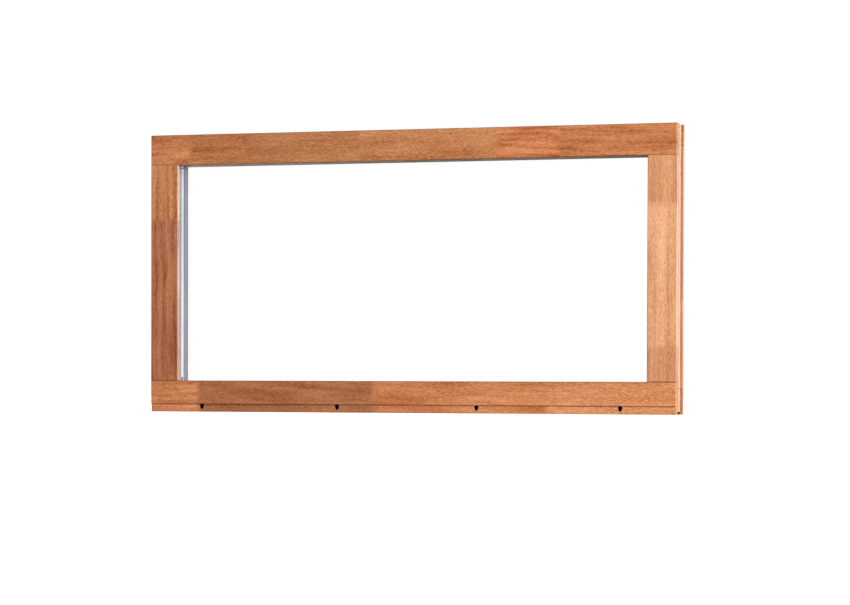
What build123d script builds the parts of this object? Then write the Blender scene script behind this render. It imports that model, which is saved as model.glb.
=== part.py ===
"""Fixed hardwood window: four jointed frame members and a sealed double-glazed unit held by mitred beads.

Millimetres. X runs along the window, Y from the outdoor face to the indoor face, Z up.
The origin is the middle of the base that the window stands on.
"""
import os
from math import cos, radians, sin

from build123d import *

# Frame, as seen from outdoors
body_width = 1237.0  # side to side, without the flanges
frame_height = 640.0
frame_depth = 72.0  # three laminations of planed hardwood
jamb_face = 65.0
head_face = 69.5
sill_face = 72.0
arris_radius = 1.2  # eased long edges on the outdoor face
small_arris = 1.0  # eased edges elsewhere

# Rebate that the glazing sits in, behind the front lip
lip_depth = 18.0
rebate_height = 15.0

# Flange along both outer sides, which covers the gap to the wall from indoors
flange_thickness = 18.0
flange_projection = 3.5
flange_chamfer = 2.5  # at its back, on the outer edge

# Saw kerf along both outer sides, for a weather strip
kerf_setback = 24.0
kerf_width = 3.0
kerf_depth = 5.0

# Sill: recessed foot below the drip edge, groove underneath, and weep holes drilled from the rebate
foot_height = 18.0
foot_recess = 4.0
groove_setback = 21.0
groove_width = 27.0
groove_height = 6.0
weep_count = 4
weep_spacing = 329.0
weep_radius = 4.5
weep_angle = 60.0  # degrees below the horizontal
weep_drop = 2.3  # from the drip edge down to the hole's axis, on the foot's face

# Mortise and tenon joints between jambs, head and sill
tenon_length = 40.0
tenon_thickness = 22.0
tenon_outer_shoulder = 12.0
tenon_inner_shoulder = 4.0
tenon_tip_chamfer = 2.0
tenon_clearance = 0.15
mortise_spare_depth = 2.0

# Sealed unit and what holds it
pane_thickness = 4.0
spacer_width = 16.0  # gap between the panes
spacer_height = 6.5
spacer_wall = 0.5
key_shoulder = 5.5  # what shows of a corner key, along each bar from the sight line's corner
key_leg = 25.0  # what goes into each bar
key_clearance = 0.1
key_tip_chamfer = 1.0
seal_thickness = 4.0
glass_gap = 4.0  # clearance round the unit, and thickness of the setting blocks
bead_round = 1.0
block_length = 80.0
block_inset = 130.0  # from the unit's end to the block's middle

# Planes that the pieces share
front = -frame_depth / 2
back = frame_depth / 2
half_body = body_width / 2
half_overall = half_body + flange_projection
flange_front = back - flange_thickness
lip_back = front + lip_depth
outer_pane_front = lip_back + seal_thickness
spacer_front = outer_pane_front + pane_thickness
spacer_back = spacer_front + spacer_width
inner_pane_back = spacer_back + pane_thickness
bead_front = inner_pane_back + seal_thickness

# Sight line, where the opening begins, and the rebate behind it
sight_half = half_body - jamb_face
sill_sight = sill_face
head_sight = frame_height - head_face
rebate_half = sight_half + rebate_height
sill_rebate = sill_sight - rebate_height
head_rebate = head_sight + rebate_height
edge_cover = rebate_height - glass_gap
opening_middle = Vertex(0, back, (sill_sight + head_sight) / 2)

# Tenon section, centred in the part of the jamb that stands behind the lip
tenon_width = half_body - tenon_outer_shoulder - rebate_half - tenon_inner_shoulder
tenon_x = rebate_half + tenon_inner_shoulder + tenon_width / 2
tenon_y = (lip_back + back) / 2
tenon_places = [(-tenon_x, tenon_y), (tenon_x, tenon_y)]

os.makedirs("parts", exist_ok=True)


def write(part, name):
    """Name a finished piece and write it."""
    part.label = name
    export_step(part, f"parts/{name}.step")


# Outer side of the frame seen from above: the front part with its kerf, then the flange.
outer_side = [
    (half_body, front + kerf_setback),
    (half_body - kerf_depth, front + kerf_setback),
    (half_body - kerf_depth, front + kerf_setback + kerf_width),
    (half_body, front + kerf_setback + kerf_width),
    (half_body, flange_front),
    (half_overall, flange_front),
    (half_overall, back - flange_chamfer),
    (half_overall - flange_chamfer, back),
]

# Head and sill are cut from longer stock, by everything outside the frame's two sides.
stock_half = half_overall + jamb_face
with BuildSketch() as side_waste:
    with BuildLine():
        Polyline(
            (half_body, 2 * front),
            *outer_side,
            (half_overall - flange_chamfer, 2 * back),
            (2 * half_overall, 2 * back),
            (2 * half_overall, 2 * front),
            close=True,
        )
    make_face()
    mirror(about=Plane.YZ)


# Head: full width over the jambs, rebated below, with a blind mortise for each jamb.
with BuildPart() as head:
    with BuildSketch(Plane.YZ) as head_section:
        with BuildLine():
            Polyline(
                (front, head_sight),
                (lip_back, head_sight),
                (lip_back, head_rebate),
                (back, head_rebate),
                (back, frame_height),
                (front, frame_height),
                close=True,
            )
        make_face()
        fillet(head_section.vertices().group_by(Axis.X)[-1], small_arris)
    extrude(amount=stock_half, both=True)
    extrude(side_waste.sketch, amount=2 * frame_height, both=True, mode=Mode.SUBTRACT)
    fillet(head.faces().sort_by(Axis.Y)[0].edges(), arris_radius)
    with BuildSketch(Plane.XY.offset(head_rebate)):
        with Locations(*tenon_places):
            Rectangle(tenon_width + 2 * tenon_clearance, tenon_thickness + 2 * tenon_clearance)
    extrude(amount=tenon_length + mortise_spare_depth, mode=Mode.SUBTRACT)
write(head.part, "head")


# Sill: full width under the jambs, with the drip edge, the foot, the groove, the mortises and the weep holes.
weep_direction = (0, -cos(radians(weep_angle)), -sin(radians(weep_angle)))
weep_mouth = Plane(
    origin=(0, front + foot_recess, foot_height - weep_drop),
    x_dir=(1, 0, 0),
    z_dir=weep_direction,
)
weep_length = (sill_rebate - weep_mouth.origin.Z + weep_radius) / sin(radians(weep_angle))

with BuildPart() as sill:
    with BuildSketch(Plane.YZ) as sill_section:
        with BuildLine():
            Polyline(
                (front + foot_recess, 0),
                (front + groove_setback, 0),
                (front + groove_setback, groove_height),
                (front + groove_setback + groove_width, groove_height),
                (front + groove_setback + groove_width, 0),
                (back, 0),
                (back, sill_rebate),
                (lip_back, sill_rebate),
                (lip_back, sill_sight),
                (front, sill_sight),
                (front, foot_height),
                (front + foot_recess, foot_height),
                close=True,
            )
        make_face()
        fillet(sill_section.vertices().sort_by_distance((front, foot_height))[0], small_arris)
    extrude(amount=stock_half, both=True)
    extrude(side_waste.sketch, amount=2 * frame_height, both=True, mode=Mode.SUBTRACT)
    face_edges = sill.faces().sort_by(Axis.Y)[0].edges().sort_by(Axis.Z)
    fillet(face_edges[1:], arris_radius)
    with BuildSketch(Plane.XY.offset(sill_rebate)):
        with Locations(*tenon_places):
            Rectangle(tenon_width + 2 * tenon_clearance, tenon_thickness + 2 * tenon_clearance)
    extrude(amount=-tenon_length - mortise_spare_depth, mode=Mode.SUBTRACT)
    with BuildSketch(weep_mouth) as weep_holes:
        with GridLocations(weep_spacing, 0, weep_count, 1):
            Circle(weep_radius)
    extrude(weep_holes.sketch, amount=-weep_length, mode=Mode.SUBTRACT)
    extrude(weep_holes.sketch, amount=2 * weep_radius, mode=Mode.SUBTRACT)
write(sill.part, "sill")


# Jamb: stands between head and sill. Its lip stops at theirs, the rest runs on to the rebates,
# and a tenon at each end goes into the mortise there.
with BuildPart() as right_jamb:
    with BuildSketch(Plane.XY.offset(sill_rebate)) as jamb_section:
        with BuildLine():
            Polyline(
                (sight_half, front),
                (half_body, front),
                *outer_side,
                (rebate_half, back),
                (rebate_half, lip_back),
                (sight_half, lip_back),
                close=True,
            )
        make_face()
        fillet(jamb_section.vertices().group_by(Axis.Y)[0], arris_radius)
    extrude(amount=head_rebate - sill_rebate)
    with Locations((sight_half, front, head_sight), (sight_half, front, sill_rebate)):
        Box(
            jamb_face,
            lip_depth,
            rebate_height,
            align=(Align.MIN, Align.MIN, Align.MIN),
            mode=Mode.SUBTRACT,
        )
    for shoulder, reach in ((head_rebate, tenon_length), (sill_rebate, -tenon_length)):
        with BuildSketch(Plane.XY.offset(shoulder)):
            with Locations((tenon_x, tenon_y)):
                Rectangle(tenon_width, tenon_thickness)
        extrude(amount=reach)
    tips = right_jamb.faces().sort_by(Axis.Z)
    chamfer(tips[0].edges() + tips[-1].edges(), tenon_tip_chamfer)
write(right_jamb.part, "right_jamb")

with BuildPart() as left_jamb:
    add(right_jamb.part)
    mirror(about=Plane.YZ, mode=Mode.REPLACE)
write(left_jamb.part, "left_jamb")


# Bars round the opening and the corners where they begin, from the bottom bar and its left end round
bar_sides = ("bottom", "right", "top", "left")
corner_names = ("lower_left", "lower_right", "upper_right", "upper_left")


def loop_corners(offset):
    """Corners of the sight line's rectangle, moved outwards by an offset, from the lower left round."""
    half = sight_half + offset
    low = sill_sight - offset
    high = head_sight + offset
    return [(-half, low), (half, low), (half, high), (-half, high)]


def bar_outline(number, inner_offset, outer_offset):
    """Corners of one mitred bar between two offsets. Bars are numbered from the bottom one round."""
    inner = loop_corners(inner_offset)
    outer = loop_corners(outer_offset)
    following = (number + 1) % 4
    return [outer[number], outer[following], inner[following], inner[number]]


def mitred_bars(kind, near, far, inner_offset, outer_offset, rounding=0.0):
    """Four bars round the opening, mitred at the corners, between two depths and two offsets.

    A rounding eases the edge towards the opening on the indoor side.
    """
    for number, side in enumerate(bar_sides):
        with BuildPart() as bar:
            with BuildSketch(Plane.XZ.offset(-near)):
                Polygon(*bar_outline(number, inner_offset, outer_offset), align=None)
            extrude(amount=near - far)
            if rounding:
                back_face = bar.faces().sort_by(Axis.Y)[-1]
                fillet(back_face.edges().sort_by_distance(opening_middle)[0], rounding)
        write(bar.part, f"{side}_{kind}")


def corner_directions(number):
    """A corner of the sight line, and the directions from it along the bar after it and the bar before."""
    corners = [Vector(*corner) for corner in loop_corners(0)]
    ahead = (corners[(number + 1) % 4] - corners[number]).normalized()
    behind = (corners[number - 1] - corners[number]).normalized()
    return corners[number], ahead, behind


def square_bar(number, inner_offset, outer_offset):
    """Corners of one bar that is cut square where the corner keys' shoulders begin."""
    corner, ahead, behind = corner_directions(number)
    following = corner_directions((number + 1) % 4)[0]
    start = corner + ahead * key_shoulder
    end = following - ahead * key_shoulder
    return [
        start - behind * inner_offset,
        end - behind * inner_offset,
        end - behind * outer_offset,
        start - behind * outer_offset,
    ]


def key_leg_outline(corner, along, inwards):
    """Corners of a corner key's leg, which starts at the shoulder and fits inside the bar's walls."""
    start = corner + along * key_shoulder
    end = start + along * key_leg
    near_wall = spacer_wall + key_clearance
    far_wall = spacer_height - near_wall
    return [
        start - inwards * near_wall,
        end - inwards * near_wall,
        end - inwards * far_wall,
        start - inwards * far_wall,
    ]


# Sealed unit: two panes, the spacer between them and the sealant round the spacer.
for pane_name, pane_front in (("outer_pane", outer_pane_front), ("inner_pane", spacer_back)):
    with BuildPart() as pane:
        with BuildSketch(Plane.XZ.offset(-pane_front)):
            Polygon(*loop_corners(edge_cover), align=None)
        extrude(amount=-pane_thickness)
    write(pane.part, pane_name)
mitred_bars("edge_sealant", spacer_front, spacer_back, spacer_height, edge_cover)

# Spacer: four hollow bars, cut square, with a corner key pushed into the ends of each two.
for bar_number, bar_side in enumerate(bar_sides):
    with BuildPart() as spacer:
        with BuildSketch(Plane.XZ.offset(-spacer_front)):
            Polygon(*square_bar(bar_number, 0, spacer_height), align=None)
        extrude(amount=-spacer_width)
        with BuildSketch(Plane.XZ.offset(-spacer_front - spacer_wall)):
            Polygon(*square_bar(bar_number, spacer_wall, spacer_height - spacer_wall), align=None)
        extrude(amount=2 * spacer_wall - spacer_width, mode=Mode.SUBTRACT)
    write(spacer.part, f"{bar_side}_spacer")

for key_number, corner_name in enumerate(corner_names):
    inner_corner, next_bar, last_bar = corner_directions(key_number)
    outer_corner = inner_corner - (next_bar + last_bar) * spacer_height
    next_shoulder = inner_corner + next_bar * key_shoulder
    last_shoulder = inner_corner + last_bar * key_shoulder
    leg_inset = spacer_wall + key_clearance
    with BuildPart() as corner_key:
        with BuildSketch(Plane.XZ.offset(-spacer_front)):
            Polygon(
                outer_corner,
                next_shoulder - last_bar * spacer_height,
                next_shoulder,
                inner_corner,
                last_shoulder,
                last_shoulder - next_bar * spacer_height,
                align=None,
            )
        extrude(amount=-spacer_width)
        with BuildSketch(Plane.XZ.offset(-spacer_front - leg_inset)):
            Polygon(*key_leg_outline(inner_corner, next_bar, last_bar), align=None)
            Polygon(*key_leg_outline(inner_corner, last_bar, next_bar), align=None)
        extrude(amount=2 * leg_inset - spacer_width)
        for leg_direction in (next_bar, last_bar):
            reach = Vector(leg_direction.X, 0, leg_direction.Y)
            leg_tip = corner_key.faces().sort_by(Axis((0, 0, 0), reach))[-1]
            chamfer(leg_tip.edges(), key_tip_chamfer)
    write(corner_key.part, f"{corner_name}_corner_key")

# What holds the unit: seals on both faces, beads behind them, and setting blocks under its edge.
mitred_bars("outer_seal", lip_back, outer_pane_front, 0, edge_cover)
mitred_bars("inner_seal", inner_pane_back, bead_front, 0, edge_cover)
mitred_bars("bead", bead_front, back, 0, rebate_height, rounding=bead_round)

block_x = sight_half + edge_cover - block_inset
for block_name, block_middle in (("left_setting_block", -block_x), ("right_setting_block", block_x)):
    with BuildPart() as block:
        with BuildSketch(Plane.XY.offset(sill_rebate)):
            with Locations((block_middle, outer_pane_front)):
                Rectangle(
                    block_length, inner_pane_back - outer_pane_front, align=(Align.CENTER, Align.MIN)
                )
        extrude(amount=glass_gap)
    write(block.part, block_name)
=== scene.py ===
# %% [markdown]
# A fixed hardwood window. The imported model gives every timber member, pane, seal and bead at its real
# size, and it stays as it is. This lesson adds the camera and the light of a plain product photograph,
# a finish for every piece, and the small things that a joiner and a glazier leave on such a window.
# All lengths are in metres. X runs along the window, Y from outdoors to indoors, Z up.

# %% Load the window
import math

import bpy
from mathutils import Matrix, Vector


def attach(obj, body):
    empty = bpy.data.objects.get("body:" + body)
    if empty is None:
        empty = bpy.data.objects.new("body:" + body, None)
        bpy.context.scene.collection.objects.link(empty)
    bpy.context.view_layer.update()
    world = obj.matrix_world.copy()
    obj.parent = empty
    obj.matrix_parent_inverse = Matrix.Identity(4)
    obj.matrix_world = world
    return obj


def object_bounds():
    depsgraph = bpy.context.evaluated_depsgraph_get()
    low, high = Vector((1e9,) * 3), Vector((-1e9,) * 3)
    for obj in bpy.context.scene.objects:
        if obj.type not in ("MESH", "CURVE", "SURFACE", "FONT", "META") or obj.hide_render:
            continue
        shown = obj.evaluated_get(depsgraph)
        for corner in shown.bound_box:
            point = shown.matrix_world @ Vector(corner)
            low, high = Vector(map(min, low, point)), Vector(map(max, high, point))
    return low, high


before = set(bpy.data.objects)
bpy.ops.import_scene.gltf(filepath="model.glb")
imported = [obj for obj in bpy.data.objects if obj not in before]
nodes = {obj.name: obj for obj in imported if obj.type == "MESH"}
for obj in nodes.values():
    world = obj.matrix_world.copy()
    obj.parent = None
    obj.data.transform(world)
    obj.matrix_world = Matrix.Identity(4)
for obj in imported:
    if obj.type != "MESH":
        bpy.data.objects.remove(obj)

cad_low, cad_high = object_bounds()
print(len(nodes), "pieces, overall", [round(side, 4) for side in cad_high - cad_low])

# %% [markdown]
# The camera stands to the right of the window's middle and low, at about the height of the sill, and
# looks a little to the left. It points a degree below level, which makes the jambs lean together by a
# hair towards the sill, and its picture is shifted up to bring the window to the middle. One could tilt
# the camera up instead, but then the jambs would lean together towards the head. The place, the turns
# and the focal length come from fitting the perspective of the frame's edges.

# %% Camera
picture_width = 850  # pixels
picture_height = 605
focal_length = 2600  # pixels
axis_row = 429.5  # pixels from the top, where the lens points
camera_place = Vector((1.6948, -5.6606, 0.0809))
camera_turn = math.radians(16.34)
camera_pitch = math.radians(-1.15)
camera_roll = math.radians(0.16)

lens = bpy.data.cameras.new("camera")
lens.sensor_width = 36  # millimetres, as the focal length below
lens.lens = lens.sensor_width * focal_length / picture_width
lens.shift_y = (axis_row - picture_height / 2) / picture_width
camera = bpy.data.objects.new("camera", lens)
camera.matrix_world = (
    Matrix.Translation(camera_place)
    @ Matrix.Rotation(camera_turn, 4, "Z")
    @ Matrix.Rotation(math.radians(90) + camera_pitch, 4, "X")
    @ Matrix.Rotation(camera_roll, 4, "Z")
)
bpy.context.scene.collection.objects.link(camera)
bpy.context.scene.camera = camera
bpy.context.scene.view_settings.view_transform = "Standard"
print("lens", round(lens.lens, 1), "mm, shift", round(lens.shift_y, 3))

# %% [markdown]
# Every finish below is arithmetic on patterns: a tone, times a figure, less some pores. Blender does
# that with nodes, which are long to write one by one. A small class wraps a node's socket and gives it
# Python's operators, so that a finish reads like a formula and each operation adds its Math node.

# %% A socket that can be added and multiplied
class Value:
    """A socket in a tree of nodes. An expression on it adds the Math nodes that work it out."""

    def __init__(self, tree, socket):
        self.tree = tree
        self.socket = socket

    def also(self, output):
        """Another output of the node that this value comes from."""
        return Value(self.tree, self.socket.node.outputs[output])

    def maths(self, operation, *terms):
        return self.tree.node(
            "ShaderNodeMath", {"operation": operation}, dict(enumerate(terms))
        )

    def __add__(self, other):
        return self.maths("ADD", self, other)

    def __radd__(self, other):
        return self.maths("ADD", other, self)

    def __sub__(self, other):
        return self.maths("SUBTRACT", self, other)

    def __rsub__(self, other):
        return self.maths("SUBTRACT", other, self)

    def __mul__(self, other):
        return self.maths("MULTIPLY", self, other)

    def __rmul__(self, other):
        return self.maths("MULTIPLY", other, self)

    def __truediv__(self, other):
        return self.maths("DIVIDE", self, other)

    def __rtruediv__(self, other):
        return self.maths("DIVIDE", other, self)

    def __gt__(self, other):
        return self.maths("GREATER_THAN", self, other)

    def __lt__(self, other):
        return self.maths("LESS_THAN", self, other)

    def __abs__(self):
        return self.maths("ABSOLUTE", self)

    def larger(self, other):
        return self.maths("MAXIMUM", self, other)

    def smaller(self, other):
        return self.maths("MINIMUM", self, other)

    def fraction(self):
        return self.maths("FRACT", self)

    def zigzag(self, width):
        """A line that climbs from 0 to a width, falls back and climbs again."""
        return self.maths("PINGPONG", self, width)

    def step(self, start, end):
        """0 below the start, 1 above the end, and a smooth rise between them."""
        return self.tree.node(
            "ShaderNodeMapRange",
            {"interpolation_type": "SMOOTHSTEP"},
            {"Value": self, "From Min": start, "From Max": end},
        )

    def stretched(self, *factors):
        """A vector with each of its three parts multiplied by its own factor."""
        return self.tree.node(
            "ShaderNodeVectorMath", {"operation": "MULTIPLY"}, {0: self, 1: factors}
        )

    def shifted(self, vector):
        return self.tree.node("ShaderNodeVectorMath", {"operation": "ADD"}, {0: self, 1: vector})


# %% [markdown]
# All other nodes come from one method. It is told a node's type, its settings, and what goes into its
# sockets, which may be numbers or other nodes' values. A ramp's stops are a setting too.

# %% A tree that grows node by node
class Tree:
    """Nodes of a material, of the world or of a geometry modifier."""

    def __init__(self, nodes):
        self.nodes = nodes
        nodes.nodes.clear()

    def node(self, kind, settings=None, inputs=None, output=0):
        made = self.nodes.nodes.new(kind)
        for name, setting in (settings or {}).items():
            if name == "stops":
                self.set_stops(made.color_ramp, setting)
            else:
                setattr(made, name, setting)
        for name, value in (inputs or {}).items():
            if isinstance(value, Value):
                self.nodes.links.new(value.socket, made.inputs[name])
            else:
                made.inputs[name].default_value = value
        return Value(self, made.outputs[output] if len(made.outputs) else None)

    def set_stops(self, ramp, stops):
        ramp.interpolation = "CONSTANT"
        while len(ramp.elements) < len(stops):
            ramp.elements.new(1)
        while len(ramp.elements) > len(stops):
            ramp.elements.remove(ramp.elements[-1])
        for element, (place, colour) in zip(ramp.elements, stops):
            element.position = place
            element.color = colour

    def parts(self, vector):
        """The three parts of a vector."""
        return [
            self.node("ShaderNodeSeparateXYZ", None, {0: vector}, part) for part in range(3)
        ]

    def vector(self, *parts):
        return self.node("ShaderNodeCombineXYZ", None, dict(enumerate(parts)))


class Shader(Tree):
    """The tree of a material or of the world."""

    def light_path(self, name):
        return self.node("ShaderNodeLightPath", None, None, name)

    def place(self):
        """Where on the window a point is, in metres."""
        return self.node("ShaderNodeTexCoord", None, None, "Object")

    def facing(self):
        """How squarely a point faces along X, Y and Z, each from -1 to 1."""
        return self.parts(self.node("ShaderNodeTexCoord", None, None, "Normal"))

    def noise(self, place, detail=2.0, roughness=0.5):
        return self.node(
            "ShaderNodeTexNoise",
            None,
            {"Vector": place, "Scale": 1.0, "Detail": detail, "Roughness": roughness},
        )

    def mix(self, share, first, second, blend="MIX"):
        """A colour between two colours."""
        settings = {"data_type": "RGBA", "blend_type": blend}
        return self.node("ShaderNodeMix", settings, {0: share, 6: first, 7: second}, 2)

    def times(self, colour, factors):
        """A colour with its red, green and blue each multiplied by a factor."""
        return self.mix(1.0, colour, factors, "MULTIPLY")

    def shaded(self, colour, shade):
        """A colour made darker or lighter by one factor."""
        return self.times(colour, self.vector(shade, shade, shade))

    def bump(self, height, distance, strength):
        inputs = {"Height": height, "Distance": distance, "Strength": strength}
        return self.node("ShaderNodeBump", None, inputs)

    def surface(self, **inputs):
        """The main shader and the output. Names of sockets are written with underscores."""
        sockets = {name.replace("_", " "): value for name, value in inputs.items()}
        shader = self.node("ShaderNodeBsdfPrincipled", None, sockets)
        self.node("ShaderNodeOutputMaterial", None, {"Surface": shader})


def new_material(name):
    """A material, its tree without nodes, and where on the window a point is."""
    material = bpy.data.materials.new(name)
    material.use_nodes = True
    shader = Shader(material.node_tree)
    return material, shader, shader.place()


def finish(material, *names):
    """Give pieces of the model their finish."""
    for name in names:
        nodes[name].data.materials.clear()
        nodes[name].data.materials.append(material)
    print(material.name, "on", ", ".join(names))


# %% [markdown]
# The photograph is a cut-out on pure white. A white world alone would light the timber from all sides
# and wash its tones out. So the surroundings are white only where they are looked at, by the camera, in
# a mirror or through glass, and are dimmer as a source of light. This function tells the rays apart.

# %% What counts as looking at the background
def looked_at(shader, mirrored_share=1.0):
    """1 for a ray that shows the background, a share of it by way of a mirror, 0 for light."""
    shows = shader.light_path("Is Camera Ray")
    for ray in ("Is Glossy Ray", "Is Transmission Ray"):
        shows = shows.larger(shader.light_path(ray))
    mirrored = shader.light_path("Glossy Depth") > 0.5
    scattered = shader.light_path("Diffuse Depth") > 0.5
    return shows * (1 - scattered) * (1 - mirrored * (1 - mirrored_share))


# %% [markdown]
# The world is all that surrounds the window above the floor.

# %% World
daylight = 0.3  # what the white surroundings give as light
world = bpy.data.worlds.new("studio")
world.use_nodes = True
bpy.context.scene.world = world
sky = Shader(world.node_tree)
brightness = daylight + looked_at(sky) * (1 - daylight)
background = sky.node("ShaderNodeBackground", None, {"Color": (1, 1, 1, 1), "Strength": brightness})
sky.node("ShaderNodeOutputWorld", None, {"Surface": background})
print("world gives", daylight, "as light and shows as 1")

# %% [markdown]
# The floor is a plain grey that gets a glow for the camera alone. It turns white that way, and still
# keeps the window's shadow. A floor that is white by its lamps would glare on the timber from below.

# %% Floor
floor_grey = 0.3
floor_glow = 0.93  # added where the camera looks, so that the open floor is white
floor_half = 40.0
mesh = bpy.data.meshes.new("floor")
corners = [(-1, -1), (1, -1), (1, 1), (-1, 1)]
mesh.from_pydata([(x * floor_half, y * floor_half, 0) for x, y in corners], [], [(0, 1, 2, 3)])
floor = bpy.data.objects.new("floor", mesh)
bpy.context.scene.collection.objects.link(floor)

material, shader, place = new_material("pale_floor")
glow = looked_at(shader, mirrored_share=0.04) * floor_glow  # timber mirrors a dark floor
grey = floor_grey + (shader.noise(place.stretched(3, 3, 3)) - 0.5) * 0.02
shader.surface(
    Base_Color=shader.vector(grey, grey, grey),
    Roughness=0.9,
    Specular_IOR_Level=0.0,
    Emission_Color=shader.vector(glow, glow, glow),
    Emission_Strength=1.0,
)
mesh.materials.append(material)
print("floor", 2 * floor_half, "m wide, glow", floor_glow)

# %% [markdown]
# In the photograph the faces that look right glow, the front is a little lighter at its right end, and
# the faces that look left, up or down are dark. So the key lamp is large, soft and far to the right.
# A weak fill stands near the camera. Two lamps behind the window light its indoor face; the weaker one
# also reaches the left reveal through the glass.

# %% Lamps
window_middle = (cad_low + cad_high) / 2


def softbox(name, place, width, height, power, colour):
    """A rectangular lamp that faces the window's middle."""
    lamp = bpy.data.lights.new(name, "AREA")
    lamp.shape = "RECTANGLE"
    lamp.size = width
    lamp.size_y = height
    lamp.energy = power
    lamp.color = colour
    box = bpy.data.objects.new(name, lamp)
    box.location = place
    box.visible_transmission = False  # or it would shine round the head's edge, seen through the glass
    box.rotation_euler = (window_middle - Vector(place)).to_track_quat("-Z", "Y").to_euler()
    bpy.context.scene.collection.objects.link(box)
    print(name, power, "W at", place)
    return box


warm_white = (1.0, 0.985, 0.96)
cool_white = (0.96, 0.98, 1.0)
soft_white = (1.0, 0.99, 0.97)
softbox("key_softbox", (4.9, -2.3, 1.1), width=2.6, height=1.8, power=400, colour=warm_white)
fill = softbox("fill_softbox", (0.3, -5.2, 1.5), width=2.0, height=1.4, power=80, colour=cool_white)
fill.visible_glossy = False  # the panes would mirror it over the head
softbox("back_softbox", (1.5, 3.4, 0.8), width=1.4, height=1.4, power=18, colour=soft_white)
softbox("indoor_softbox", (-2.2, 3.6, 0.8), width=1.8, height=1.4, power=90, colour=soft_white)

# %% [markdown]
# Two effects of the photograph's light come from its whole room, which a few lamps don't stand for.
# What looks down at the head sees the red-brown sill and looks warm. What looks right gets lighter
# towards the sill. Both are put into the colours here. One could build the room instead, but every
# wall of it would also show in the glass.

# %% Tints that follow the light
tint_below = (1.35, 0.92, 0.5, 1)
squarely = (0.6, 0.9)  # how squarely a face looks along an axis, for none and for all of a tint
light_bottom = 0.08
light_top = 0.5


def warm_below(shader, colour):
    """A colour, made warmer on faces that look down."""
    looks_down = (0 - shader.facing()[2]).step(*squarely)
    return shader.mix(looks_down, colour, shader.times(colour, tint_below))


def lighter_low(shader, colour, gain):
    """A colour, made lighter towards the sill on faces that look right."""
    looks_right = shader.facing()[0].step(*squarely)
    height = shader.parts(shader.place())[2]
    return shader.shaded(colour, 1 + looks_right * (1 - height.step(light_bottom, light_top)) * gain)


# %% [markdown]
# The frame is a red-brown tropical hardwood, planed and not yet painted. It isn't sawn from one log:
# each member is glued up from three boards through its depth, and every board from shorter lengths that
# are joined end to end with fingers. The lengths differ clearly in tone, which is what one notices first
# in the photograph. An image of wood would put the same boards on every member, and would stretch on
# the ends. So the timber is worked out from solid patterns, which run through a member. First its sizes.

# %% Sizes of the timber
front = cad_low.y
depth = cad_high.y - front
board_thickness = depth / 3
finger_length = 0.014
finger_width = 0.0038
glue_line = 0.0002
arris = 0.0014  # how far a painted dark edge of shade reaches on either side of an edge
seam = 0.0012  # half the painted dark line of shade at a shoulder
side_x = 0.6185  # the frame's outer sides, without their flanges
sight_x = 0.5535
sill_top = 0.072
drip_edge = 0.018
foot_front = front + 0.004
head_bottom = 0.5705
lip_back = front + 0.018
sill_rebate = 0.057  # behind the lips the jambs run on to here
head_rebate = 0.5855
# A groove runs along the underside of the sill, and a thin kerf up the outer sides.
groove_top = 0.0065
groove_middle = front + 0.0345
groove_half = 0.0136
kerf_middle = front + 0.0255
kerf_half = 0.0016
kerf_bottom = side_x - 0.0051
kerf_mouth = side_x - 0.0002
print("boards", round(board_thickness * 1000, 1), "mm thick")

# %% [markdown]
# A point in the timber belongs to one board. Which row it is in follows from its depth, and which length
# from its place along the member, shifted to and fro by the zigzag of the fingers. A ramp with hard
# stops holds the tones of a row, and a number for each board, which seeds its grain.


# %% Where in the boards a point lies
def board_row(shader, shift, far_end, row):
    """The tone along one row of boards, given as (start, tone), and a number per board."""
    near_end = row[0][0]
    total = far_end - near_end + finger_length
    stops = [
        ((start - near_end) / total, (*tone, number / len(row)))
        for number, (start, tone) in enumerate(row)
    ]
    tone = shader.node("ShaderNodeValToRGB", {"stops": stops}, {0: (shift - near_end) / total})
    return tone, tone.also("Alpha")


def board_place(shader, place, grain, far_end, rows, draw):
    """The board's tone, the point seen along its grain, how much ribbon it has, and the glue."""
    x, y, z = shader.parts(place)
    along, across = (x, z) if grain == "X" else (z, x)
    fingers = across.zigzag(finger_width / 2) * (2 * finger_length / finger_width)
    tone, number = board_row(shader, along + fingers, far_end, rows[0])
    for layer in (1, 2):
        behind = y > front + layer * board_thickness
        row_tone, row_number = board_row(shader, along + fingers, far_end, rows[layer])
        tone = shader.mix(behind, tone, row_tone)
        number = number + (layer + row_number - number) * behind
    seed = shader.node(
        "ShaderNodeTexWhiteNoise", {"noise_dimensions": "1D"}, {"W": number * 10 + draw}, "Color"
    )
    tilt, lift, move = shader.parts(seed)
    red, green = shader.parts(tone)[:2]
    figured = (red / green).step(2.57, 3.15)  # redder lengths have more ribbon in them
    across = across + along * (tilt - 0.5) * 0.05 + lift * 0.5
    wood = shader.vector(along + move * 3, across, y + tilt * 0.5)
    glue = abs(abs(y) - board_thickness / 2) < glue_line
    return tone, wood, figured, glue


# %% [markdown]
# On a board's tone come clouds, ribbons and flecks along the grain, and pores as fine dark dashes.
# A lighter spot of wood isn't only brighter but yellower too, so the figure works most on blue, less on
# green and least on red. Glue lines are darker. Front edges get a painted dark line of shade, and so do
# the shoulders of the joints, where two members meet, for the shade in the gap between them. The faces
# that look right get a tint as the photograph has them, which paints their light, sheen and shade.

# %% The timber
shade_and_glue_brown = (0.10, 0.028, 0.012, 1)
recess_shade = (0.03, 0.015, 0.008, 1)
pore_brown = (0.12, 0.03, 0.012, 1)
hole_shade_black = (0.004, 0.003, 0.002, 1)
darkest_figure = -0.36
foot_edge_shade = 0.4  # strengths, from 0 to 1
glue_darkness = 0.55
groove_shade = 0.8
kerf_shade = 0.85


def waves(shader, wood, along, across, detail, roughness=0.5):
    """Noise from 0 to 1, with so many waves per metre along the grain and across it."""
    return shader.noise(wood.stretched(along, across, across), detail, roughness)


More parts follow.
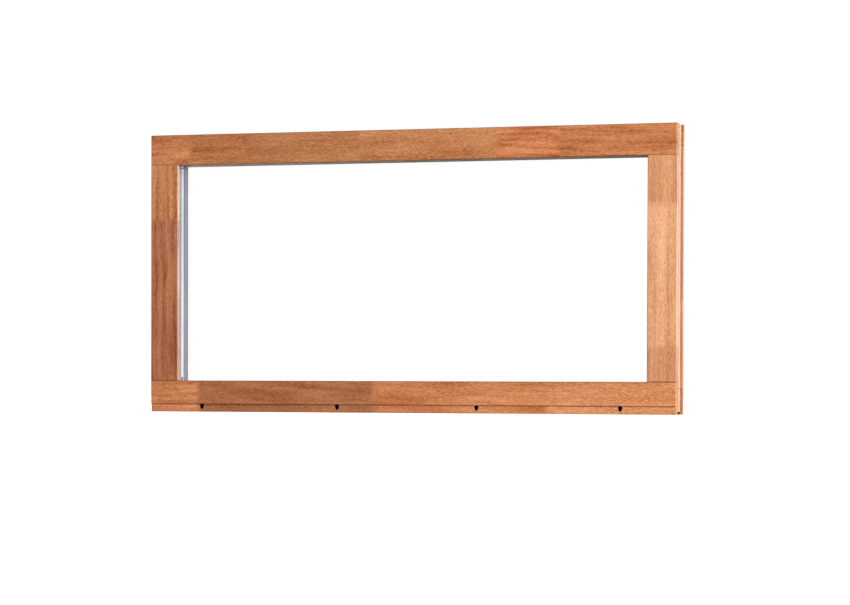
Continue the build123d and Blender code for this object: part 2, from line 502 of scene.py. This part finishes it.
def hardwood(
    name, grain, far_end, rows, shaded_arrises, draw, striped, painted_side_light, figure=1.0, shoulders=(), holes=None
):
    """The hardwood of one member.

    The rows are its outer, middle and inner boards. A shaded arris is a front edge that gets a painted
    dark line of shade, given as (place, strength), and a shoulder is the end of a jamb, given as (lip's
    end, rebate's end, strength), whose joint gets such a line too.
    """
    material, shader, place = new_material("hardwood_" + name)
    tone, wood, figured, glue = board_place(shader, place, grain, far_end, rows, draw)
    x, y, z = shader.parts(place)
    along, across = (x, z) if grain == "X" else (z, x)
    normal = shader.facing()
    end_grain = abs(normal[0 if grain == "X" else 2]).step(0.6, 0.8)

    # The grain wanders from its line by a few millimetres.
    sway = (waves(shader, wood, 9, 20, 1) - 0.5) * 0.014
    wood = wood.shifted(shader.vector(0, sway, sway))
    clouds = waves(shader, wood, 4, 14, 1) - 0.5
    ribbons = waves(shader, wood, 7, 85, 3, 0.55) - 0.5
    mottle = waves(shader, wood, 115, 400, 2, 0.6) - 0.5
    fibres = waves(shader, wood, 140, 1100, 2, 0.6) - 0.5
    pores = waves(shader, wood, 130, 1500, 1).step(0.58, 0.68)
    stripes = waves(shader, wood, 1.5, 120, 2) - 0.5
    shade = clouds * 0.5 + ribbons * (0.55 + figured * 1.1) + stripes * striped
    shade = shade + mottle * 1.05 + fibres * 0.7 - pores * 0.14 - end_grain * 0.06
    shade = (shade * figure).larger(darkest_figure)
    bleach = shader.vector(1 + shade * 1.05, 1 + shade * 1.8, 1 + shade * 2.5)
    colour = shader.times(tone, bleach)
    # Painted light, sheen and shade: faces that look right get a tint, paler and lighter on the head and
    # the left jamb, darker on the sill and the right jamb.
    side_lit_colour = shader.times(colour, (*painted_side_light, 1))
    colour = shader.mix(normal[0].step(*squarely), colour, side_lit_colour)
    colour = lighter_low(shader, colour, gain=0.25)
    colour = shader.mix(pores * 0.3, colour, pore_brown)

    # Glue lines are darker. The front edges and the joints' shoulders get painted dark lines of shade.
    painted_edge_shade = (z < arris) * (y < foot_front + arris) * foot_edge_shade
    for edge, strength in shaded_arrises:
        painted_edge_shade = painted_edge_shade.larger((abs(across - edge) < arris) * (y < front + arris) * strength)
    shade_and_glue = painted_edge_shade.larger(glue * glue_darkness)
    for lip_end, rebate_end, strength in shoulders:
        shoulder = lip_end + (y > lip_back) * (rebate_end - lip_end)
        shade_and_glue = shade_and_glue.larger((abs(along - shoulder) < seam) * strength)
    colour = shader.mix(shade_and_glue, colour, shade_and_glue_brown)
    # Painted shade: the groove under the sill and the kerfs up the sides are darkened inside.
    if grain == "X":
        groove = (z < groove_top) * (abs(y - groove_middle) < groove_half)
        colour = shader.mix(groove * groove_shade, colour, recess_shade)
    kerf = (abs(x) > kerf_bottom) * (abs(x) < kerf_mouth) * (abs(y - kerf_middle) < kerf_half)
    colour = shader.mix(kerf * kerf_shade, colour, recess_shade)
    # Painted shade: the weep holes are black inside.
    hole = holes(x, y, z) if holes else 0.0
    colour = shader.mix(hole, colour, hole_shade_black)

    height = fibres * 0.6 - pores * 1.0
    shader.surface(
        Base_Color=colour,
        Roughness=0.46 + mottle * 0.25 + pores * 0.2 + end_grain * 0.1 + painted_edge_shade * 0.5 + hole,
        Metallic=hole,  # a black metal mirrors nothing
        Specular_IOR_Level=0.4,
        Normal=shader.bump(height, 0.0002, 0.6),
    )
    finish(material, name)


# %% [markdown]
# The four weep holes are black inside, as painted shade for their deep, dark bores. A point is in a hole
# when it is within the drill's radius of the axis, which is worked out from two distances at right
# angles.

# %% Inside the weep holes
hole_spacing = 0.329
hole_reach = 0.0045 + 0.0003  # the drill's radius, and a little more to take in the hole's wall
hole_angle = math.radians(60)
hole_mouth = drip_edge - 0.0023  # the height at which a hole's axis comes out at the foot


def weep_holes(x, y, z):
    """1 within a hole and on its wall, 0 elsewhere."""
    sideways = ((x / hole_spacing).fraction() - 0.5) * hole_spacing
    upwards = (y - foot_front) * math.sin(hole_angle) - (z - hole_mouth) * math.cos(hole_angle)
    return sideways * sideways + upwards * upwards < hole_reach**2


# %% [markdown]
# The front boards follow the photograph, which shows where the lengths meet and how they differ. The
# boards behind them hardly show there, so they are shared out: one pale, one dark, as offcuts are.

# %% Boards of the four members
straw = (0.548, 0.193, 0.072)
brown = (0.470, 0.174, 0.064)
tan = (0.455, 0.174, 0.067)
honey = (0.478, 0.187, 0.070)
russet = (0.492, 0.160, 0.058)
umber = (0.418, 0.141, 0.045)
maize = (0.600, 0.210, 0.081)
dark = (0.402, 0.144, 0.056)
copper = (0.550, 0.197, 0.073)
peach = (0.594, 0.235, 0.094)
wine = (0.401, 0.133, 0.055)
sand = (0.570, 0.230, 0.097)
pink = (0.538, 0.231, 0.110)
pale = (0.657, 0.318, 0.161)
rose = (0.564, 0.251, 0.116)
cream = (0.74, 0.46, 0.26)
ivory = (0.74, 0.44, 0.235)
cedar = (0.42, 0.145, 0.055)
amber = (0.50, 0.195, 0.095)
rust = (0.43, 0.16, 0.075)

half = cad_high.x
top = cad_high.z
middle_row = [(-half, tan), (-0.21, pale), (0.17, sand), (0.44, cream)]
inner_row = [(-half, brown), (-0.33, straw), (0.06, umber), (0.38, cedar)]
hardwood(
    "head", "X", half,
    [
        [(-half, straw), (-0.515, brown), (-0.373, tan), (-0.11, honey), (0.216, russet), (0.356, umber)],
        middle_row,
        inner_row,
    ],
    shaded_arrises=((top, 0.5), (head_bottom, 0.1)),
    draw=3, striped=0.2, painted_side_light=(0.9, 1.12, 1.35),
)
hardwood(
    "sill", "X", half,
    [
        [(-half, maize), (-0.495, dark), (-0.072, copper), (0.33, peach)],
        middle_row,
        inner_row,
    ],
    shaded_arrises=((drip_edge, 0.4), (sill_top, 0.6)),
    draw=5, striped=0.2, painted_side_light=(0.74, 0.84, 0.92), figure=0.9, holes=weep_holes,
)
hardwood(
    "left_jamb", "Z", top,
    [
        [(0.0, wine), (0.452, sand)],
        [(0.0, tan), (0.23, rose)],
        [(0.0, umber), (0.31, brown)],
    ],
    shaded_arrises=((-side_x, 0.5), (-sight_x, 0.3)),
    draw=8, striped=1.1, painted_side_light=(1.0, 1.62, 2.75), figure=0.85,
    shoulders=((sill_top, sill_rebate, 0.5), (head_bottom, head_rebate, 0.15)),
)
hardwood(
    "right_jamb", "Z", top,
    [
        [(0.0, pink), (0.155, pale), (0.47, rose)],
        [(0.0, cream), (0.38, ivory)],
        [(0.0, amber), (0.26, rust), (0.5, amber)],
    ],
    shaded_arrises=((side_x, 0.3), (sight_x, 0.8)),
    draw=11, striped=0.7, painted_side_light=(0.72, 0.68, 0.68), figure=0.6,
    shoulders=((sill_top, sill_rebate, 0.8), (head_bottom, head_rebate, 0.55)),
)

# %% [markdown]
# The glazing beads are painted in a satin blue-grey, by brush, along their length. The strokes leave
# faint lines, and a fine dark line shows where two beads meet in a mitre.

# %% Painted beads
blue_grey = (0.125, 0.132, 0.178, 1)
mitre_half = 0.0004


def painted(grain):
    """Satin paint, brushed along X or Z."""
    material, shader, place = new_material("bead_paint_" + grain)
    stretch = (8, 300, 300) if grain == "X" else (300, 300, 8)
    strokes = shader.noise(place.stretched(*stretch), 3, 0.6) - 0.5
    cloud = shader.noise(place.stretched(30, 30, 30), 2) - 0.5
    x, y, z = shader.parts(place)
    to_side = sight_x - abs(x)
    to_end = (z - sill_top).smaller(head_bottom - z)
    mitre = abs(to_side - to_end) < mitre_half
    shade = (1 + strokes * 0.45 + cloud * 0.35) * (1 - mitre * 0.6)
    shader.surface(
        Base_Color=warm_below(shader, shader.shaded(blue_grey, shade)),
        Roughness=0.6 + strokes * 0.2,
        Specular_IOR_Level=0.3,
        Normal=shader.bump(strokes, 0.0003, 0.6),
    )
    return material


finish(painted("X"), "bottom_bead", "top_bead")
finish(painted("Z"), "left_bead", "right_bead")

# %% [markdown]
# The spacer bars that hold the panes apart are rolled aluminium. The rolling leaves lines along a bar.

# %% Spacer metal
aluminium = (0.50, 0.55, 0.645, 1)
butyl_black = (0.02, 0.02, 0.022)


def rolled_metal(grain):
    """Mill-finish aluminium, with black butyl where the bar is stuck to the panes."""
    material, shader, place = new_material("spacer_metal_" + grain)
    stretch = (3, 900, 900) if grain == "X" else (900, 900, 3)
    lines = shader.noise(place.stretched(*stretch), 2) - 0.5
    butyl = abs(shader.facing()[1]).step(0.5, 0.7)
    colour = lighter_low(shader, shader.shaded(aluminium, 1 + lines * 0.1), gain=0.42)
    shader.surface(
        Base_Color=warm_below(shader, shader.mix(butyl, colour, (*butyl_black, 1))),
        Metallic=1 - butyl,
        Roughness=0.42 + lines * 0.2 + butyl * 0.3,
        Normal=shader.bump(lines, 0.00005, 0.4),
    )
    return material


finish(rolled_metal("X"), "bottom_spacer", "top_spacer")
finish(rolled_metal("Z"), "left_spacer", "right_spacer")

# %% [markdown]
# Seals, sealant, setting blocks and corner keys are matt, with a fine speckle and a slight cloud.

# %% Rubber, sealant and plastic
def matt(name, base, roughness, grain_size, relief, gain=0.0):
    """A matt finish with a speckle of one size. The gain is for the faces that look right."""
    material, shader, place = new_material(name)
    scale = 1 / grain_size
    speckle = shader.noise(place.stretched(scale, scale, scale), 2)
    cloud = shader.noise(place.stretched(40, 40, 40), 2)
    shade = 1 + (speckle - 0.5) * 0.25 + (cloud - 0.5) * 0.2
    colour = lighter_low(shader, shader.shaded((*base, 1), shade), gain)
    shader.surface(
        Base_Color=warm_below(shader, colour),
        Roughness=roughness + (speckle - 0.5) * 0.15,
        Specular_IOR_Level=0.25,
        Normal=shader.bump(speckle, relief, 0.5),
    )
    return material


sides = ("bottom", "right", "top", "left")
for kind, base in (("outer_seal", (0.26, 0.25, 0.255)), ("inner_seal", (0.12, 0.128, 0.15))):
    rubber = matt(kind + "_rubber", base, roughness=0.75, grain_size=0.0008, relief=0.00005, gain=0.5)
    finish(rubber, *[f"{side}_{kind}" for side in sides])
sealant = matt("edge_sealant", (0.02, 0.02, 0.021), roughness=0.5, grain_size=0.0015, relief=0.0001)
finish(sealant, *[f"{side}_edge_sealant" for side in sides])
blue = (0.05, 0.12, 0.25)
block = matt("setting_block_plastic", blue, roughness=0.45, grain_size=0.0005, relief=0.00003)
finish(block, "left_setting_block", "right_setting_block")
light_grey = (0.55, 0.57, 0.61)
key = matt("corner_key_plastic", light_grey, roughness=0.5, grain_size=0.0006, relief=0.00003)
corners = ("lower_left", "lower_right", "upper_right", "upper_left")
finish(key, *[f"{corner}_corner_key" for corner in corners])

# %% [markdown]
# Float glass is clear, and shows by what it mirrors. The world is white on both sides of it, so the
# opening stays white, as in the photograph. Lamps shine through a real pane; here the panes throw no
# shadow instead, because a clear shader would block the lamps' light and leave the reveal dark.

# %% Glass
clear = (1.0, 1.0, 1.0, 1)
edge_green = (0.45, 0.72, 0.62, 1)
material, shader, place = new_material("float_glass")
cut_edge = 1 - abs(shader.facing()[1]).step(0.3, 0.7)
haze = shader.noise(place.stretched(25, 25, 25), 2)
shader.surface(
    Base_Color=shader.mix(cut_edge, clear, edge_green),
    Roughness=haze.step(0.55, 0.8) * 0.01 + cut_edge * 0.3,
    IOR=1.45,
    Transmission_Weight=1.0,
)
finish(material, "outer_pane", "inner_pane")
for name in ("outer_pane", "inner_pane"):
    nodes[name].visible_shadow = False
    nodes[name].visible_diffuse = False

# %% [markdown]
# Now the small parts, which repeat along the beads and the spacer. Each could be modelled once and
# copied by hand, but then a change of spacing means placing all of them again. Geometry Nodes spread
# them along drawn lines instead: a line becomes a curve, the curve gets points at an even spacing, and
# each point gets a copy that is turned along the line. At the end the copies become one plain mesh.

# %% A modifier that spreads copies along lines
class Spread(Tree):
    """A geometry tree with named sizes, which puts a copy on each point of its lines."""

    def __init__(self, name, sizes):
        super().__init__(bpy.data.node_groups.new(name, "GeometryNodeTree"))
        sockets = self.nodes.interface
        sockets.new_socket("Lines", in_out="INPUT", socket_type="NodeSocketGeometry")
        for size in sizes:
            sockets.new_socket(size, in_out="INPUT", socket_type="NodeSocketFloat")
        sockets.new_socket("Copies", in_out="OUTPUT", socket_type="NodeSocketGeometry")
        entry = self.nodes.nodes.new("NodeGroupInput")
        self.lines = Value(self, entry.outputs["Lines"])
        self.sizes = [Value(self, entry.outputs[size]) for size in sizes]

    def end(self, spacing, copy, material):
        curve = self.node("GeometryNodeMeshToCurve", None, {"Mesh": self.lines})
        curve = self.node(
            "GeometryNodeResampleCurve", {"mode": "LENGTH"}, {"Curve": curve, "Length": spacing}
        )
        along = self.node("GeometryNodeInputTangent")
        turn = self.node(
            "FunctionNodeAlignRotationToVector", {"axis": "X", "pivot_axis": "Y"}, {"Vector": along}
        )
        copies = self.node(
            "GeometryNodeInstanceOnPoints", None, {"Points": curve, "Instance": copy, "Rotation": turn}
        )
        real = self.node("GeometryNodeRealizeInstances", None, {"Geometry": copies})
        done = self.node("GeometryNodeSetMaterial", None, {"Geometry": real, "Material": material})
        self.node("NodeGroupOutput", None, {"Copies": done})


def spread(name, tree, sizes, lines):
    """Run a tree on lines and keep the result as one plain mesh."""
    mesh = bpy.data.meshes.new(name)
    points = [point for line in lines for point in line]
    mesh.from_pydata(points, [(at, at + 1) for at in range(0, len(points), 2)], [])
    drawn = bpy.data.objects.new(name + "_lines", mesh)
    bpy.context.scene.collection.objects.link(drawn)
    modifier = drawn.modifiers.new(name, "NODES")
    modifier.node_group = tree.nodes
    for socket in tree.nodes.interface.items_tree:
        if socket.in_out == "INPUT" and socket.name in sizes:
            modifier[socket.identifier] = sizes[socket.name]
    graph = bpy.context.evaluated_depsgraph_get()
    result = bpy.data.meshes.new_from_object(drawn.evaluated_get(graph), depsgraph=graph)
    bpy.data.objects.remove(drawn)
    piece = bpy.data.objects.new(name, result)
    bpy.context.scene.collection.objects.link(piece)
    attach(piece, "root")
    print(name, len(result.polygons), "faces")


def plain_finish(name, base, roughness, metallic=0.0):
    """A finish for things of a millimetre or two, clouded so that no two look alike."""
    material, shader, place = new_material(name)
    cloud = shader.noise(place.stretched(900, 900, 900), 2) - 0.5
    shader.surface(
        Base_Color=shader.shaded((*base, 1), 1 + cloud * 0.5),
        Roughness=roughness + cloud * 0.2,
        Metallic=metallic,
    )
    return material


# %% [markdown]
# Brads hold the beads. They are driven from indoors, square to the wall, about a hand's width apart.
# Their round heads stand 0.3 mm proud, and have a bevelled rim.

# %% Brads in the beads
bead_middle = 0.0082  # from the sight line
brad_inset = 0.055  # from the sight line's corners
indoor_face = cad_high.y
brad_lines = [
    [(-sight_x + brad_inset, indoor_face, z), (sight_x - brad_inset, indoor_face, z)]
    for z in (sill_top - bead_middle, head_bottom + bead_middle)
] + [
    [(x, indoor_face, sill_top + brad_inset), (x, indoor_face, head_bottom - brad_inset)]
    for x in (-sight_x - bead_middle, sight_x + bead_middle)
]

brads = Spread("brads", ["Spacing", "Head radius", "Head height"])
spacing, head_radius, head_height = brads.sizes
body = brads.node(
    "GeometryNodeMeshCylinder",
    None,
    {"Vertices": 16, "Radius": head_radius, "Depth": head_height * 2},
)
rim = brads.node(
    "GeometryNodeMeshCone",
    None,
    {
        "Vertices": 16,
        "Radius Bottom": head_radius,
        "Radius Top": head_radius * 0.75,
        "Depth": head_height * 0.5,
    },
)
rim = brads.node(
    "GeometryNodeTransform", None, {"Geometry": rim, "Translation": brads.vector(0, 0, head_height)}
)
head_parts = brads.nodes.nodes.new("GeometryNodeJoinGeometry")
for part in (body, rim):
    brads.nodes.links.new(part.socket, head_parts.inputs[0])
upright = brads.node(
    "GeometryNodeTransform",
    None,
    {
        "Geometry": Value(brads, head_parts.outputs[0]),
        "Rotation": (-math.pi / 2, 0, 0),
        "Translation": brads.vector(0, head_height * -0.5, 0),
    },
)
brads.end(spacing, upright, plain_finish("brad_steel", (0.35, 0.34, 0.33), 0.4, 1.0))
spread(
    "glazing_brads",
    brads,
    {"Spacing": 0.15, "Head radius": 0.001, "Head height": 0.0003},
    brad_lines,
)

# %% [markdown]
# The spacer bars are punched with two rows of slits, through which the drying beads inside take the
# damp out of the cavity. Punching them as real holes would need thousands of faces in each bar, so each
# slit is a thin black lens that lies in the bar's surface.

# %% Slits in the spacer bars
seam_at = 0.0055  # from a corner to the end of a bar, where the key's shoulder is
slit_start = seam_at + 0.002
row_depths = (-0.0065, 0.0025)
slit_lines = []
for y in row_depths:
    for z in (sill_top, head_bottom):
        slit_lines.append([(-sight_x + slit_start, y, z), (sight_x - slit_start, y, z)])
    for x in (-sight_x, sight_x):
        slit_lines.append([(x, y, sill_top + slit_start), (x, y, head_bottom - slit_start)])

slits = Spread("slits", ["Spacing", "Length", "Width", "Height"])
spacing, length, width, height = slits.sizes
lens_shape = slits.node("GeometryNodeMeshCylinder", None, {"Vertices": 8, "Radius": 0.5, "Depth": 1.0})
lens_shape = slits.node(
    "GeometryNodeTransform",
    None,
    {"Geometry": lens_shape, "Scale": slits.vector(length, width, height)},
)
slits.end(spacing, lens_shape, plain_finish("slit_shadow", butyl_black, 0.8))
spread(
    "spacer_slits",
    slits,
    {"Spacing": 0.0042, "Length": 0.0018, "Width": 0.0003, "Height": 0.0001},
    slit_lines,
)

# %% [markdown]
# Where a bar meets the shoulder of a corner key, butyl is pressed over the gap, so that no damp gets in.
# In the photograph these are the dark spots near both ends of the left spacer. They are flat pads, made
# with the same modifier: each line is so short that it carries only two pads, one at each end.

# %% Butyl over the corner joints
cavity_middle = -0.002
pad_offset = 0.0005
seam_lines = []
for x in (-sight_x + seam_at, sight_x - seam_at):
    for z in (sill_top, head_bottom):
        seam_lines.append([(x - pad_offset, cavity_middle, z), (x + pad_offset, cavity_middle, z)])
for z in (sill_top + seam_at, head_bottom - seam_at):
    for x in (-sight_x, sight_x):
        seam_lines.append([(x, cavity_middle, z - pad_offset), (x, cavity_middle, z + pad_offset)])

seams = Spread("seams", ["Spacing", "Length", "Width", "Height"])
spacing, length, width, height = seams.sizes
pad = seams.node("GeometryNodeMeshCylinder", None, {"Vertices": 4, "Radius": 1.0, "Depth": 1.0})
pad = seams.node(
    "GeometryNodeTransform",
    None,
    {"Geometry": pad, "Rotation": (0, 0, math.pi / 4)},
)
pad = seams.node(
    "GeometryNodeTransform",
    None,
    {"Geometry": pad, "Scale": seams.vector(length * 0.7, width * 0.7, height)},
)
seams.end(spacing, pad, plain_finish("butyl", (0.025, 0.025, 0.027), 0.7))
spread(
    "corner_butyl",
    seams,
    {"Spacing": 0.001, "Length": 0.0009, "Width": 0.0156, "Height": 0.0004},
    seam_lines,
)

# %% [markdown]
# At the sill, dark pads of butyl material are put over the keys as painted shade, for the shade that
# falls there by the sill. The same tree makes them, with other sizes.

# %% Painted shade over the lower keys
shade_pad_depth = cavity_middle - 0.0025
shade_pad_low = sill_top + 0.0018
shade_pad_high = sill_top + 0.0044
shade_pad_lines = [[(x, shade_pad_depth, shade_pad_low), (x, shade_pad_depth, shade_pad_high)] for x in (-sight_x, sight_x)]
spread(
    "lower_key_shade_pad",
    seams,
    {"Spacing": 0.0026, "Length": 0.0026, "Width": 0.0106, "Height": 0.0004},
    shade_pad_lines,
)
